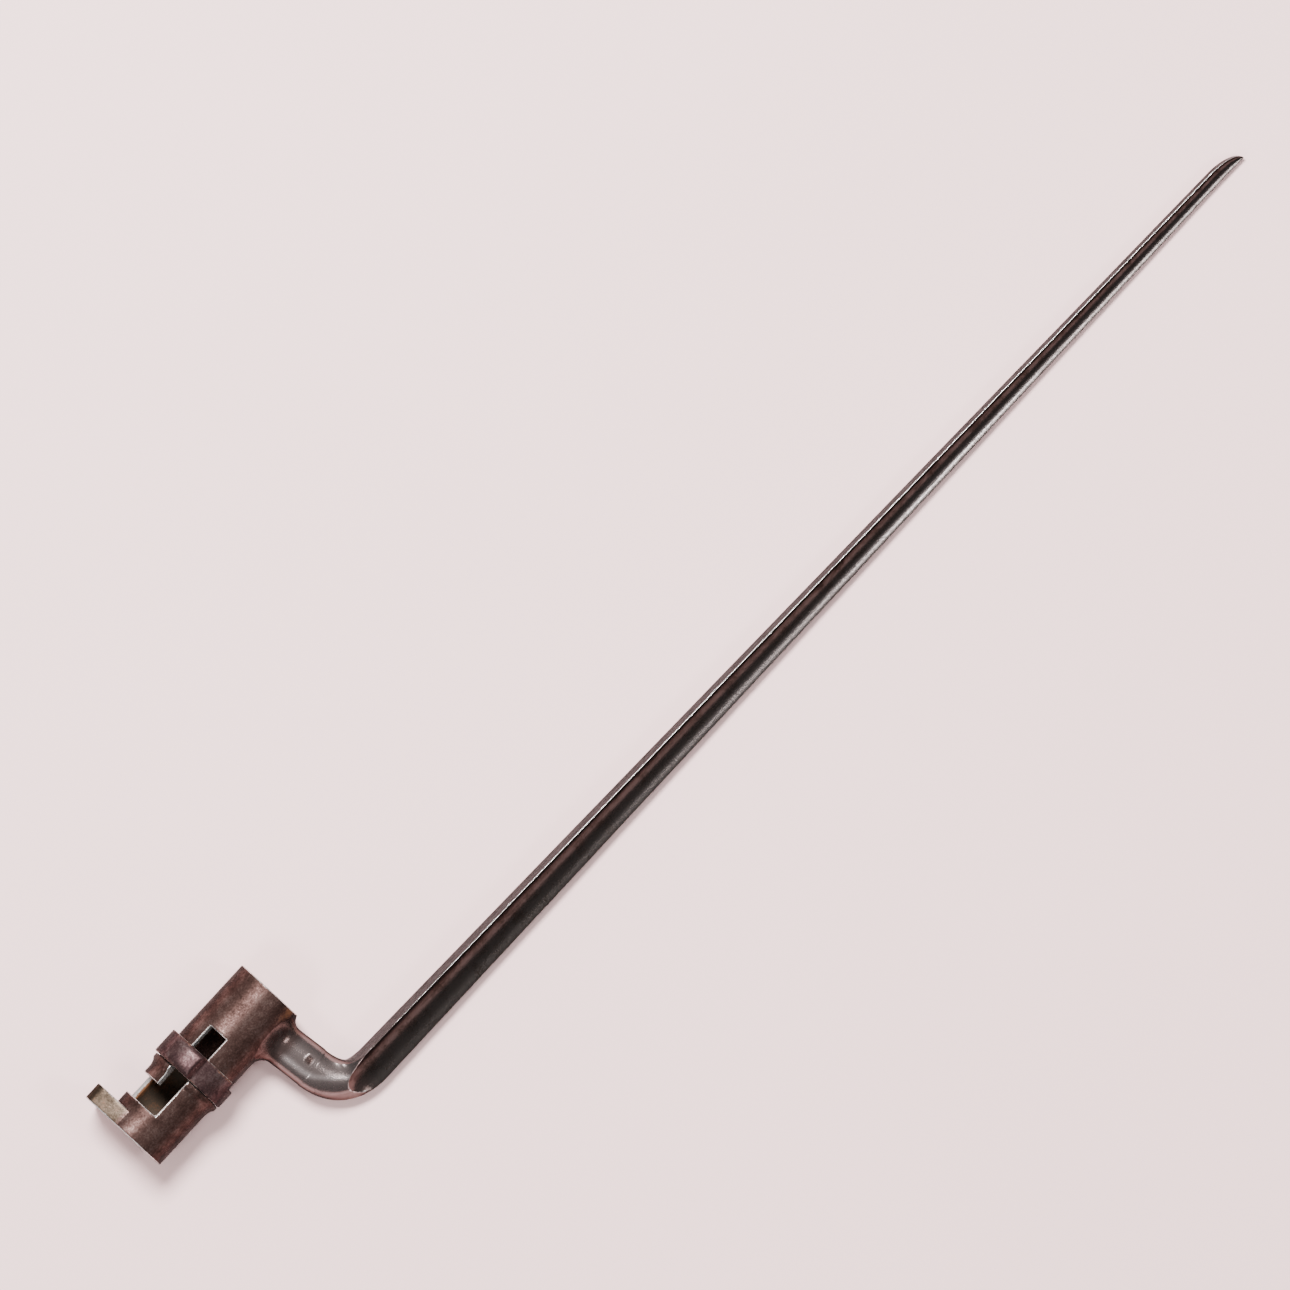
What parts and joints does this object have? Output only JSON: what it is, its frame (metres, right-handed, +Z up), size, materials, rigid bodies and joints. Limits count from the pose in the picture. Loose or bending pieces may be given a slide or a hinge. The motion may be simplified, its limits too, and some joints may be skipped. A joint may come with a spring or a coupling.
{
  "type": "socket bayonet",
  "caption": "Socket bayonet with a triangular hollow-ground blade on a curved arm, a slotted socket with a bridge at its rear, and a turning locking ring on the socket.",
  "frame": {"origin": "middle of the bounding box at the table, with the bayonet lying on its side as it rests on a flat surface", "axes": "+X along the blade towards its tip, parallel to the socket's axis as seen from above; +Y from the blade towards the socket; +Z up from the table"},
  "size_m": [0.5298, 0.0772, 0.0333],
  "materials": {
    "patinated_steel": "aged brown patina, worn bright on edges and on the arm",
    "pin_steel": "dark aged steel",
    "ring_steel": "aged russet brown patina",
    "screw_steel": "dark aged steel"
  },
  "bodies": {
    "bayonet": {"bayonet_body": "patinated_steel", "stop_pin": "pin_steel"},
    "ring": {"locking_ring": "ring_steel", "ring_screw": "screw_steel"}
  },
  "joints": [
    {"name": "ring_turn", "type": "hinge", "parent": "bayonet", "child": "ring", "pos_m": [-0.23058, 0.0162, 0.01543], "axis": [1, 0, -0.0062], "range_deg": [0, 80]}
  ]
}
